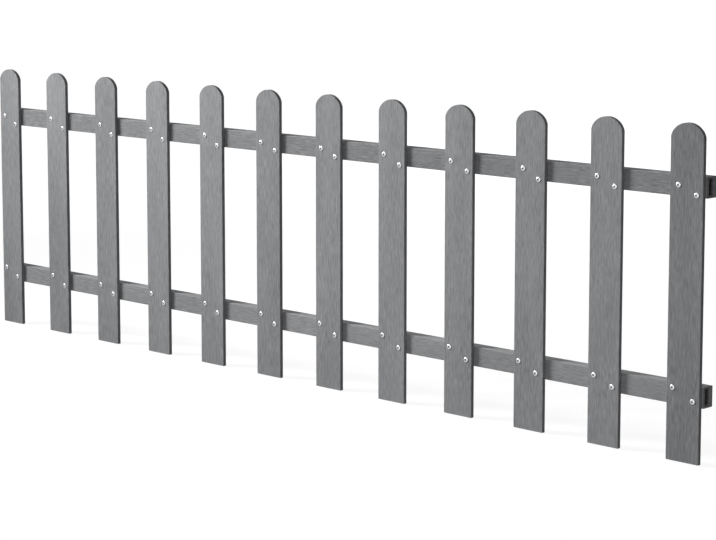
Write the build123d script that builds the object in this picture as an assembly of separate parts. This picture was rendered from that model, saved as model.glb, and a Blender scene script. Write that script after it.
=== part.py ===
"""Composite picket fence panel.

Flat pickets of wood-plastic composite with arched tops stand in front of two hollow
rails of the same material.  The panel is hung on posts by the back faces of its rails.

Frame, in millimetres: X runs along the rails, Y points from the front of the panel to
its back, Z is up.  The origin is the middle of the lower rail's back face, where that
rail lies against a post.
"""

import os

from build123d import *

# Pickets: extruded flat boards, sawn to length and milled to an arch at the top
PICKET_COUNT = 12
PICKET_PITCH = 175.0
PICKET_WIDTH = 70.0
PICKET_THICKNESS = 8.0
PICKET_HEIGHT = 600.0
PICKET_EDGE_RADIUS = 1.0
ARCH_RISE = 29.5
ARCH_SHOULDER_RADIUS = 25.0

# Rails: extruded hollow box sections, sawn square and left open at both ends
RAIL_HEIGHT = 38.0
RAIL_DEPTH = 28.0
RAIL_FRONT_WALL = 5.0
RAIL_TOP_WALL = 3.5
RAIL_EDGE_RADIUS = 1.5
RAIL_CHAMBER_RADIUS = 2.0
RAIL_OVERHANG = 2.5

# Places of the rails, measured from the feet of the pickets
LOWER_RAIL_ABOVE_FEET = 100.0
UPPER_RAIL_ABOVE_FEET = 470.0

# Worked out from the sizes above.  The arch has three arcs that run into each other and into
# the sides smoothly, which sets the radius of the one at the crown
PICKET_HALF_WIDTH = PICKET_WIDTH / 2
ARCH_CROWN_RADIUS = (
    PICKET_HALF_WIDTH**2 - 2 * PICKET_HALF_WIDTH * ARCH_SHOULDER_RADIUS + ARCH_RISE**2
) / (2 * (ARCH_RISE - ARCH_SHOULDER_RADIUS))
PICKETS_SPAN = (PICKET_COUNT - 1) * PICKET_PITCH + PICKET_WIDTH
RAIL_LENGTH = PICKETS_SPAN + 2 * RAIL_OVERHANG
LOWER_RAIL_CENTRE_Z = 0.0
FEET_Z = LOWER_RAIL_CENTRE_Z - RAIL_HEIGHT / 2 - LOWER_RAIL_ABOVE_FEET
UPPER_RAIL_CENTRE_Z = FEET_Z + UPPER_RAIL_ABOVE_FEET + RAIL_HEIGHT / 2
RAIL_CENTRE_Y = -RAIL_DEPTH / 2
PICKET_BACK_Y = -RAIL_DEPTH
PICKET_CENTRE_Y = PICKET_BACK_Y - PICKET_THICKNESS / 2


def make_rail(centre_z):
    """A hollow rail: the wall between two rounded rectangles, extruded along X."""
    section_plane = Plane(
        origin=(-RAIL_LENGTH / 2, RAIL_CENTRE_Y, centre_z), x_dir=(0, 1, 0), z_dir=(1, 0, 0)
    )
    outside = RectangleRounded(RAIL_DEPTH, RAIL_HEIGHT, RAIL_EDGE_RADIUS)
    chamber = RectangleRounded(
        RAIL_DEPTH - 2 * RAIL_FRONT_WALL, RAIL_HEIGHT - 2 * RAIL_TOP_WALL, RAIL_CHAMBER_RADIUS
    )
    return extrude(section_plane * (outside - chamber), amount=RAIL_LENGTH)


def make_picket_outline():
    """The front view of a picket, with X from its middle and Y up from its foot."""
    spring = Vector(PICKET_HALF_WIDTH, PICKET_HEIGHT - ARCH_RISE)
    crown_centre = Vector(0, PICKET_HEIGHT - ARCH_CROWN_RADIUS)
    shoulder_centre = spring - Vector(ARCH_SHOULDER_RADIUS, 0)
    junction = crown_centre + (shoulder_centre - crown_centre).normalized() * ARCH_CROWN_RADIUS
    side = Line((PICKET_HALF_WIDTH, 0), spring)
    shoulder = TangentArc(spring, junction, tangent=(0, 1))
    crown = ThreePointArc(junction, (0, PICKET_HEIGHT), (-junction.X, junction.Y))
    foot = Line((-PICKET_HALF_WIDTH, 0), (PICKET_HALF_WIDTH, 0))
    right_half = side + shoulder
    return make_face(right_half + crown + mirror(right_half, about=Plane.YZ) + foot)


def make_picket(centre_x):
    """A picket: a board with eased long edges, cut to the outline with the arched top."""
    board_section = Plane.XY.offset(FEET_Z) * Pos(centre_x, PICKET_CENTRE_Y) * RectangleRounded(
        PICKET_WIDTH, PICKET_THICKNESS, PICKET_EDGE_RADIUS
    )
    board = extrude(board_section, amount=PICKET_HEIGHT)
    outline_plane = Plane(origin=(centre_x, PICKET_BACK_Y, FEET_Z), x_dir=(1, 0, 0), z_dir=(0, -1, 0))
    return board & extrude(outline_plane * make_picket_outline(), amount=PICKET_THICKNESS)


def build():
    """All pieces of the panel by their node names."""
    pieces = {
        "lower_rail": make_rail(LOWER_RAIL_CENTRE_Z),
        "upper_rail": make_rail(UPPER_RAIL_CENTRE_Z),
    }
    first_x = -(PICKET_COUNT - 1) * PICKET_PITCH / 2
    for number in range(PICKET_COUNT):
        pieces[f"picket_{number + 1:02d}"] = make_picket(first_x + number * PICKET_PITCH)
    return pieces


os.makedirs("parts", exist_ok=True)
for name, piece in build().items():
    export_step(piece, f"parts/{name}.step")
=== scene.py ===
"""Composite picket fence panel: two hollow rails, twelve arched pickets and their screws."""
import math
import random
import bmesh
import bpy
from mathutils import Matrix, Vector


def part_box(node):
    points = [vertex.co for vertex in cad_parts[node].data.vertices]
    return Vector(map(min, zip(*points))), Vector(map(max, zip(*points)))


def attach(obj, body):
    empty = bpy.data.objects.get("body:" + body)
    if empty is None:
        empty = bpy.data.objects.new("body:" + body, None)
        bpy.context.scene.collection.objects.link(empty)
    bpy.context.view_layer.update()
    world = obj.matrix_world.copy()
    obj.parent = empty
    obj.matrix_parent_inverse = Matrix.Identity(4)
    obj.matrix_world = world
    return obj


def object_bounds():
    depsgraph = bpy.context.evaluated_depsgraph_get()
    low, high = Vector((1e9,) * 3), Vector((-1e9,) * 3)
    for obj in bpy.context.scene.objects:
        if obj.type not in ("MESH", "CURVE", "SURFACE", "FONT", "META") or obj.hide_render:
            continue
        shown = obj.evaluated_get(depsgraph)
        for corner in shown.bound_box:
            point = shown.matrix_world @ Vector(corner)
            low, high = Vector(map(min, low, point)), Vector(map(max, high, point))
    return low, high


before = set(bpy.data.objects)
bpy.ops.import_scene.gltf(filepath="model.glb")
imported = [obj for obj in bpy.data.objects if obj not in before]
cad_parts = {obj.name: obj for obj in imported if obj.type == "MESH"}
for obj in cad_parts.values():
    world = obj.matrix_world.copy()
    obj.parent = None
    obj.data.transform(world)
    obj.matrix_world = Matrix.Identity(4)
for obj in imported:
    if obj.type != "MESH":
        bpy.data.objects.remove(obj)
cad_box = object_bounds()

# Rails: two lengths of hollow box section, extruded in grey wood-plastic composite, brushed along
# their length and sawn square at the ends.  They carry the pickets on their front faces.
MM = 0.001
ALONG_X = 0

# The darkest and lightest greys of the composite, and the tones at which they are reached
DARK_COMPOSITE = "#717274"
LIGHT_COMPOSITE = "#A0A1A3"
DARK_TONE = 0.41
LIGHT_TONE = 0.69

# Width and length in millimetres, and share, of each kind of mark.  Real brush marks are about 0.5 mm
# wide, which is too fine to show, so they are drawn wider, with still coarser ones over them and a slow
# drift of tone
BRUSH_MARKS = (
    (0.8, 40.0, 0.3),
    (2.0, 16.0, 0.35),
    (4.0, 35.0, 0.2),
    (50.0, 260.0, 0.15),
)

# Wood flour has grains of about 0.3 mm, also too fine to show, so the speckle is drawn coarser.  It
# starts where a face looks more along the grain than across it
FLOUR_GRAIN = 1.5 * MM
SPECKLE_STARTS = 0.75
SPECKLE_WHOLE = 0.95

# Weights, in tone, of the lighter arrises, partly rubbed wear and partly a painted highlight, and of the
# difference from board to board
ARRIS_WEAR_AND_HIGHLIGHT_LIFT = 0.09
BOARD_LIFT = 0.07


def linear(code):
    """Turns an sRGB hex colour into the linear colour that a socket takes."""
    shares = [int(code[i:i + 2], 16) / 255 for i in (1, 3, 5)]
    return [s / 12.92 if s <= 0.04045 else ((s + 0.055) / 1.055) ** 2.4 for s in shares] + [1.0]


def add(tree, kind, inputs=None, **settings):
    """Adds a node with its settings, and gives each input a value or a link from another node."""
    node = tree.nodes.new(kind)
    for name, value in settings.items():
        setattr(node, name, value)
    for name, value in (inputs or {}).items():
        if isinstance(value, bpy.types.NodeSocket):
            tree.links.new(value, node.inputs[name])
        else:
            node.inputs[name].default_value = value
    return node


def blank_material(name):
    """A new material with no nodes yet."""
    material = bpy.data.materials.new(name)
    material.use_nodes = True
    material.node_tree.nodes.clear()
    return material


def brushed_composite(name, grain):
    """Wood flour in polyethylene, extruded and brushed along one axis: matt grey, with fine streaks
    along the board, a slow drift of tone, arrises lightened partly as rubbed wear and partly as a painted
    highlight, and a speckle of flour on sawn ends."""
    material = blank_material(name)
    tree = material.node_tree
    place = add(tree, "ShaderNodeTexCoord").outputs["Object"]

    # Streaks, as a height that also gives the tone and the roughness
    streaks = 0.0
    for width, length, share in BRUSH_MARKS:
        scale = [1 / ((length if axis == grain else width) * MM) for axis in range(3)]
        spread = add(tree, "ShaderNodeMapping", {"Vector": place, "Scale": scale}).outputs["Vector"]
        noise = add(tree, "ShaderNodeTexNoise", {"Vector": spread, "Scale": 1.0, "Detail": 2.0})
        streaks = add(
            tree, "ShaderNodeMath", {0: noise.outputs["Fac"], 1: share, 2: streaks}, operation="MULTIPLY_ADD"
        ).outputs[0]

    # Sawn ends, which face along the grain
    normal = add(tree, "ShaderNodeNewGeometry").outputs["Normal"]
    facing = add(tree, "ShaderNodeVectorMath", {0: normal}, operation="ABSOLUTE").outputs["Vector"]
    sides = add(tree, "ShaderNodeSeparateXYZ", {"Vector": facing}).outputs
    speckle = add(tree, "ShaderNodeTexNoise", {"Vector": place, "Scale": 1 / FLOUR_GRAIN, "Detail": 3.0})
    sawn = add(tree, "ShaderNodeMapRange", {
        "Value": sides[grain], "From Min": SPECKLE_STARTS, "From Max": SPECKLE_WHOLE,
    })
    tone = add(tree, "ShaderNodeMix", {
        "Factor": sawn.outputs[0], "A": streaks, "B": speckle.outputs["Fac"],
    }).outputs[0]

    # Arrises, which face both ways across the grain, lightened partly as rubbed wear and partly as a painted
    # # highlight, and a board's own tone, from the stretch of the extrusion that it was cut from
    across = [sides[axis] for axis in range(3) if axis != grain]
    arris_wear_and_highlight = add(tree, "ShaderNodeMath", {0: across[0], 1: across[1]}, operation="MINIMUM").outputs[0]
    board = add(tree, "ShaderNodeObjectInfo").outputs["Random"]
    for share, lift in ((arris_wear_and_highlight, ARRIS_WEAR_AND_HIGHLIGHT_LIFT), (board, BOARD_LIFT)):
        tone = add(tree, "ShaderNodeMath", {0: share, 1: lift, 2: tone}, operation="MULTIPLY_ADD").outputs[0]

    colour = add(tree, "ShaderNodeValToRGB", {"Fac": tone})
    dark_end, light_end = colour.color_ramp.elements
    dark_end.position = DARK_TONE
    dark_end.color = linear(DARK_COMPOSITE)
    light_end.position = LIGHT_TONE
    light_end.color = linear(LIGHT_COMPOSITE)
    rough = add(tree, "ShaderNodeMapRange", {
        "Value": streaks, "From Min": 0.35, "From Max": 0.65, "To Min": 0.9, "To Max": 0.75,
    })
    bump = add(tree, "ShaderNodeBump", {"Height": streaks, "Strength": 0.5, "Distance": 0.4 * MM})
    surface = add(tree, "ShaderNodeBsdfPrincipled", {
        "Base Color": colour.outputs["Color"], "Roughness": rough.outputs[0], "IOR": 1.5,
        "Specular IOR Level": 0.2, "Normal": bump.outputs["Normal"],
    })
    add(tree, "ShaderNodeOutputMaterial", {"Surface": surface.outputs["BSDF"]})
    return material


rail_composite = brushed_composite("rail_brushed_composite", ALONG_X)
for rail in ("lower_rail", "upper_rail"):
    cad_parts[rail].material_slots[0].material = rail_composite

# Pickets: flat boards of the same composite, brushed along their length, sawn at the foot and milled
# to an arch at the top.  They stand in front of the rails and lie flat against them.
ALONG_Z = 2
picket_composite = brushed_composite("picket_brushed_composite", ALONG_Z)
PICKETS = sorted(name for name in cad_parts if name.startswith("picket_"))
for picket in PICKETS:
    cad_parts[picket].material_slots[0].material = picket_composite

# Screws: pan heads of zinc-plated steel with a cross recess, two through each picket into each rail.
# They are driven by hand, so they stray a little and their recesses stand at any angle.
HEAD_RADIUS = 5.0 * MM
HEAD_HEIGHT = 2.2 * MM
HEAD_RIM = 0.5 * MM
HEAD_SIDES = 24
CROWN_RADIUS = 3.2 * MM
CROWN_STEPS = 5
RECESS_DEPTH = 1.6 * MM
RECESS_REACH = 2.5 * MM
RECESS_HALF_WIDTH = 0.75 * MM
RECESS_FLOOR_REACH = 1.375 * MM
RECESS_FLOOR_HALF_WIDTH = 0.525 * MM
SHANK_LENGTH = 25 * MM
SHANK_POINT = 4 * MM
SHANK_SIDES = 10
CORE_RADIUS = 1.4 * MM
THREAD_RADIUS = 2.0 * MM
THREAD_PITCH = 1.8 * MM
THREAD_SHARE = 0.8
STEPS_PER_TURN = 4
SHARP_ANGLE = math.radians(40)

# Scratches from the driver are about 0.1 mm wide, too fine to show, so they are drawn coarser
SCRATCH_WIDTH = 0.8 * MM


def dome_height(radius):
    """Height of the domed head above the picket at some distance from the screw's axis."""
    return HEAD_RIM + (HEAD_HEIGHT - HEAD_RIM) * math.sqrt(1 - (radius / HEAD_RADIUS) ** 2)


def thread_radius(turn, height):
    """The shank's radius at some turn, from 0 to 1, and height.  The thread takes its share of each pitch,
    and the bare core shows in the rest."""
    phase = (height / THREAD_PITCH + turn) % 1
    ridge = max(0.0, 1 - 2 * abs(phase - 0.5) / THREAD_SHARE)
    return CORE_RADIUS + (THREAD_RADIUS - CORE_RADIUS) * ridge


def ring(bm, height, radii):
    """Points round the screw's axis at one height, one for each radius."""
    step = math.tau / len(radii)
    return [
        bm.verts.new((radius * math.cos(i * step), radius * math.sin(i * step), height))
        for i, radius in enumerate(radii)
    ]


def cross(bm, reach, half_width, height):
    """The twelve corners of the recess at one depth; height is a function of the distance from the axis,
    so that the mouth follows the dome."""
    arm = ((reach, -half_width), (reach, half_width), (half_width, half_width))
    corners = []
    for quarter in range(4):
        turn = Matrix.Rotation(quarter * math.pi / 2, 2)
        corners += [turn @ Vector(corner) for corner in arm]
    return [bm.verts.new((corner.x, corner.y, height(corner.length))) for corner in corners]


def skin(bm, lower, upper):
    """Makes quads between two rings of as many points, and returns them."""
    quads = zip(lower, lower[1:] + lower[:1], upper[1:] + upper[:1], upper)
    return [bm.faces.new(corners) for corners in quads]


def close_band(bm, outer, inner, normal):
    """Makes triangles between two loops that don't have as many points, one inside the other."""
    edges = [bm.edges.get(ends) for loop in (outer, inner) for ends in zip(loop[-1:] + loop[:-1], loop)]
    bmesh.ops.triangle_fill(bm, edges=edges, use_beauty=True, normal=normal)


def make_head(bm):
    """The head, domed in rings as far as its crown, and its recess, which has the second material, a dark
    zinc that is partly duller plating and partly painted shade; returns the edge of its seat."""
    rings = [ring(bm, 0, [HEAD_RADIUS] * HEAD_SIDES)]
    crown_angle = math.acos(CROWN_RADIUS / HEAD_RADIUS)
    for step in range(CROWN_STEPS + 1):
        radius = HEAD_RADIUS * math.cos(crown_angle * step / CROWN_STEPS)
        rings.append(ring(bm, dome_height(radius), [radius] * HEAD_SIDES))
    for lower, upper in zip(rings, rings[1:]):
        skin(bm, lower, upper)
    mouth = cross(bm, RECESS_REACH, RECESS_HALF_WIDTH, dome_height)
    floor_height = HEAD_HEIGHT - RECESS_DEPTH
    bottom = cross(bm, RECESS_FLOOR_REACH, RECESS_FLOOR_HALF_WIDTH, lambda radius: floor_height)
    recess = skin(bm, bottom, mouth)
    for face in recess:
        face.normal_flip()
    recess.append(bm.faces.new(bottom))
    for face in recess:
        face.material_index = 1
    close_band(bm, rings[-1], mouth, (0, 0, 1))
    return rings[0]


def make_shank(bm):
    """The threaded shank and its point; returns the ring where it meets the head."""
    threaded = SHANK_LENGTH - SHANK_POINT
    steps = round(threaded / THREAD_PITCH * STEPS_PER_TURN)
    rings = []
    for step in range(steps + 1):
        height = threaded * (step / steps - 1)
        radii = [thread_radius(side / SHANK_SIDES, height) for side in range(SHANK_SIDES)]
        rings.append(ring(bm, height, radii))
    point = bm.verts.new((0, 0, -SHANK_LENGTH))
    for i in range(SHANK_SIDES):
        bm.faces.new((point, rings[0][(i + 1) % SHANK_SIDES], rings[0][i]))
    for lower, upper in zip(rings, rings[1:]):
        skin(bm, lower, upper)
    return rings[-1]


def to_mesh(bm, name):
    """Hands the finished shape over to a mesh of that name."""
    mesh = bpy.data.meshes.new(name)
    bm.to_mesh(mesh)
    bm.free()
    return mesh


def make_screw():
    """One screw along Z, with its head's seat at Z = 0."""
    bm = bmesh.new()
    seat = make_head(bm)
    neck = make_shank(bm)
    close_band(bm, seat, neck, (0, 0, -1))
    return to_mesh(bm, "screw")


def zinc_plate(name, colour, roughest):
    """Zinc plated on steel and scratched by the driver: a pale, cloudy metal with soft highlights."""
    material = blank_material(name)
    tree = material.node_tree
    place = add(tree, "ShaderNodeTexCoord").outputs["Object"]
    scratches = add(tree, "ShaderNodeTexNoise", {
        "Vector": place, "Scale": 1 / SCRATCH_WIDTH, "Detail": 4.0,
    }).outputs["Fac"]
    rough = add(tree, "ShaderNodeMapRange", {"Value": scratches, "To Min": 0.2, "To Max": roughest})
    bump = add(tree, "ShaderNodeBump", {"Height": scratches, "Strength": 0.15, "Distance": 0.1 * MM})
    surface = add(tree, "ShaderNodeBsdfPrincipled", {
        "Base Color": linear(colour), "Metallic": 1.0, "Roughness": rough.outputs[0],
        "Normal": bump.outputs["Normal"],
    })
    add(tree, "ShaderNodeOutputMaterial", {"Surface": surface.outputs["BSDF"]})
    return material


def put_in_scene(name, data):
    """A new object of that name, linked into the scene."""
    thing = bpy.data.objects.new(name, data)
    bpy.context.scene.collection.objects.link(thing)
    return thing


bright_zinc = zinc_plate("bright_zinc_plate", "#C6C8CB", 0.6)
# The recess gets a dark, dull zinc: partly duller plating, partly painted shade in the hollow
recess_painted_shade_zinc = zinc_plate("recess_zinc_painted_shade", "#5A5D61", 0.8)
screw = make_screw()

# Places from the middle of the picket and of the rail, the higher screw on the left
SCREW_PLACES = {
    "lower_rail": ((-21.5 * MM, 10.5 * MM), (19.5 * MM, -6.5 * MM)),
    "upper_rail": ((-18.5 * MM, 2.5 * MM), (21.0 * MM, -15.0 * MM)),
}
STRAY = 2.0 * MM
LEAN = math.radians(2)
driver = random.Random(12)
face_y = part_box(PICKETS[0])[0].y
for rail, places in SCREW_PLACES.items():
    rail_middle = sum(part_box(rail), Vector()) / 2
    bm = bmesh.new()
    for picket in PICKETS:
        picket_middle = sum(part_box(picket), Vector()) / 2
        for x, z in places:
            stray = [driver.uniform(-STRAY, STRAY) for _ in range(2)]
            seat = Vector((picket_middle.x + x + stray[0], face_y, rail_middle.z + z + stray[1]))
            first = len(bm.verts)
            bm.from_mesh(screw)
            bm.verts.ensure_lookup_table()
            place = (
                Matrix.Translation(seat)
                @ Matrix.Rotation(math.pi / 2 + driver.uniform(-LEAN, LEAN), 4, "X")
                @ Matrix.Rotation(driver.uniform(-LEAN, LEAN), 4, "Y")
                @ Matrix.Rotation(driver.uniform(0, math.tau), 4, "Z")
            )
            bmesh.ops.transform(bm, matrix=place, verts=bm.verts[first:])
    mesh = to_mesh(bm, rail + "_screws")
    mesh.materials.append(bright_zinc)
    mesh.materials.append(recess_painted_shade_zinc)
    mesh.shade_smooth()
    mesh.set_sharp_from_angle(angle=SHARP_ANGLE)
    piece = put_in_scene(rail + "_screws", mesh)
    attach(piece, "root")

# Floor: a plain studio floor under the feet of the pickets.  Seen directly it is white, with the panel's
# soft shadow left on it, and far from the panel it runs out into the white background.  The light that
# it throws up at the boards is that of grey paint.
FLOOR_RADIUS = 9.0
FLOOR_SIDES = 96
FLOOR_DROP = 2 * MM

# The floor's own glow where it is seen, which rises to white between these distances from the middle
FLOOR_GLOW = 0.9
GLOW_RISES = 1.4
GLOW_WHITE = 3.2


def seen_directly(tree):
    """1 where the camera, a reflection or a view through glass shows it, and 0 for bounced light."""
    path = add(tree, "ShaderNodeLightPath").outputs
    seen = 0.0
    for ray in ("Is Camera Ray", "Is Glossy Ray", "Is Transmission Ray"):
        seen = add(tree, "ShaderNodeMath", {0: path[ray], 1: seen}, operation="MAXIMUM").outputs[0]
    return seen


bm = bmesh.new()
bmesh.ops.create_circle(bm, cap_ends=True, segments=FLOOR_SIDES, radius=FLOOR_RADIUS)
bmesh.ops.translate(bm, vec=(0, 0, cad_box[0].z - FLOOR_DROP), verts=bm.verts)
floor = put_in_scene("studio_floor", to_mesh(bm, "studio_floor"))
floor_paint = blank_material("studio_floor_paint")
tree = floor_paint.node_tree
place = add(tree, "ShaderNodeTexCoord").outputs["Object"]
reach = add(tree, "ShaderNodeVectorMath", {0: place}, operation="LENGTH").outputs["Value"]
glow = add(tree, "ShaderNodeMapRange", {
    "Value": reach, "From Min": GLOW_RISES, "From Max": GLOW_WHITE, "To Min": FLOOR_GLOW, "To Max": 1.0,
})
paint = add(tree, "ShaderNodeBsdfDiffuse", {"Color": linear("#7C7C7C")})
white = add(tree, "ShaderNodeEmission", {"Color": linear("#FFFFFF"), "Strength": glow.outputs[0]})
glowing = add(tree, "ShaderNodeAddShader", {0: white.outputs[0], 1: paint.outputs[0]})
shown = add(tree, "ShaderNodeMixShader", {
    0: seen_directly(tree), 1: paint.outputs[0], 2: glowing.outputs[0],
})
add(tree, "ShaderNodeOutputMaterial", {"Surface": shown.outputs[0]})
floor.data.materials.append(floor_paint)

# Light: one soft lamp above the front left, aimed over the panel so that the boards near it don't
# outshine the far ones, a weak one in front that opens the shadows, and one behind for the back of
# the panel.  The pale room all round is white where it is seen.
AMBIENT = 0.13
LAMPS = {
    "front_lamp": {
        "place": (-2.55, -1.55, 1.8),
        "aim": (0.1, 0.0, 0.6),
        "size": (1.2, 0.7),
        "spread": math.radians(75),
        "power": 31.5,
    },
    "fill_lamp": {
        "place": (2.2, -4.5, 0.45),
        "aim": (0.7, 0.0, 0.35),
        "size": (1.5, 0.8),
        "spread": math.radians(60),
        "power": 5.6,
    },
    "back_lamp": {
        "place": (-3.0, 5.0, 0.3),
        "aim": (0.0, 0.0, 0.2),
        "size": (2.0, 0.8),
        "spread": math.radians(60),
        "power": 34.0,
    },
}
world = bpy.data.worlds.new("pale_room")
bpy.context.scene.world = world
world.use_nodes = True
tree = world.node_tree
tree.nodes.clear()
level = add(tree, "ShaderNodeMapRange", {"Value": seen_directly(tree), "To Min": AMBIENT, "To Max": 1.0})
room = add(tree, "ShaderNodeBackground", {"Color": linear("#FFFFFF"), "Strength": level.outputs[0]})
add(tree, "ShaderNodeOutputWorld", {"Surface": room.outputs[0]})
for name, wanted in LAMPS.items():
    lamp = bpy.data.lights.new(name, "AREA")
    lamp.shape = "RECTANGLE"
    lamp.size, lamp.size_y = wanted["size"]
    lamp.energy = wanted["power"]
    lamp.spread = wanted["spread"]
    lamp_stand = put_in_scene(name, lamp)
    lamp_stand.location = wanted["place"]
    beam = Vector(wanted["aim"]) - Vector(wanted["place"])
    lamp_stand.rotation_euler = beam.to_track_quat("-Z", "Y").to_euler()

# Camera: a long lens in front of the right-hand end, a little above the panel and looking slightly down
# along it, with a small vertical shift that keeps the pickets nearly upright in the picture.
CAMERA_PLACE = (3.137, -3.114, 0.830)
CAMERA_TURN = math.radians(43.93)
CAMERA_DOWN = math.radians(6.88)
camera = bpy.data.cameras.new("camera")
camera.sensor_width = 36.0
camera.lens = 108.9
camera.shift_y = -0.125
camera_stand = put_in_scene("camera", camera)
camera_stand.location = CAMERA_PLACE
camera_stand.rotation_euler = (math.pi / 2 - CAMERA_DOWN, 0, CAMERA_TURN)
bpy.context.scene.camera = camera_stand
bpy.context.scene.view_settings.view_transform = "Standard"
